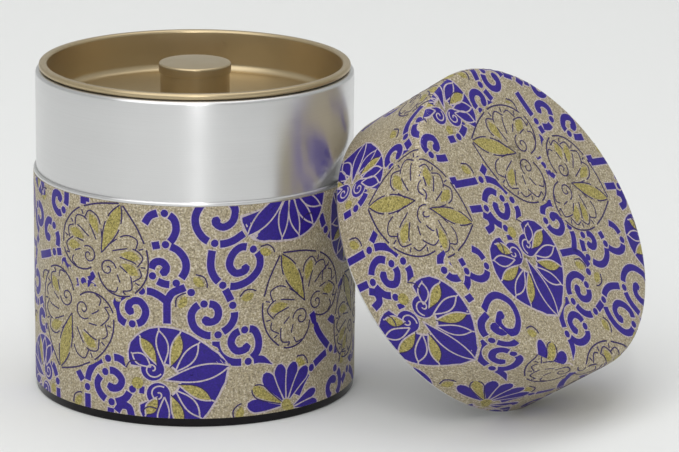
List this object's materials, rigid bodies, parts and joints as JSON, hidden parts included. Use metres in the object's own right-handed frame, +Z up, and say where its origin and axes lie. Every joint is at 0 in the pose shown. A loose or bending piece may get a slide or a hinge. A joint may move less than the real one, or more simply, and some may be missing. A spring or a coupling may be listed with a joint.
{
  "type": "paper-covered caddy with an inner lid and a pull-off lid",
  "caption": "Round paper-covered metal caddy for tea or spice, with a bright neck, a dished inner lid with a knob, and a deep pull-off lid leaning beside it.",
  "frame": {"origin": "middle of the tin's foot, on the surface it stands on", "axes": "+Z up along the tin; the outer lid leans on the +X side; the front faces -Y"},
  "size_m": [0.1484, 0.0937, 0.0799],
  "materials": {
    "black_lacquer": "gloss black lacquer",
    "bright_tinplate": "bright, finely brushed round the tube",
    "gold_lacquer": "satin pale gold lacquer",
    "patterned_paper": "fine grained gold-sand paper printed with violet-blue, mustard and dark outlines"
  },
  "bodies": {
    "tin": {"base_end": "black_lacquer", "body_shell": "bright_tinplate", "body_paper": "patterned_paper", "inner_sleeve": "bright_tinplate"},
    "inner_lid": {"inner_lid_pan": "gold_lacquer", "knob_cup": "gold_lacquer", "knob_cap": "gold_lacquer", "knob_rivet": "bright_tinplate"},
    "outer_lid": {"lid_shell": "bright_tinplate", "lid_paper": "patterned_paper"}
  },
  "joints": [
    {"name": "inner_lid_lift", "type": "slide", "parent": "tin", "child": "inner_lid", "axis": [0, 0, 1], "range_m": [0, 0.03]},
    {"name": "outer_lid_lift", "type": "slide", "parent": "tin", "child": "outer_lid", "axis": [0, 0, 1], "range_m": [0, 0.12]}
  ]
}
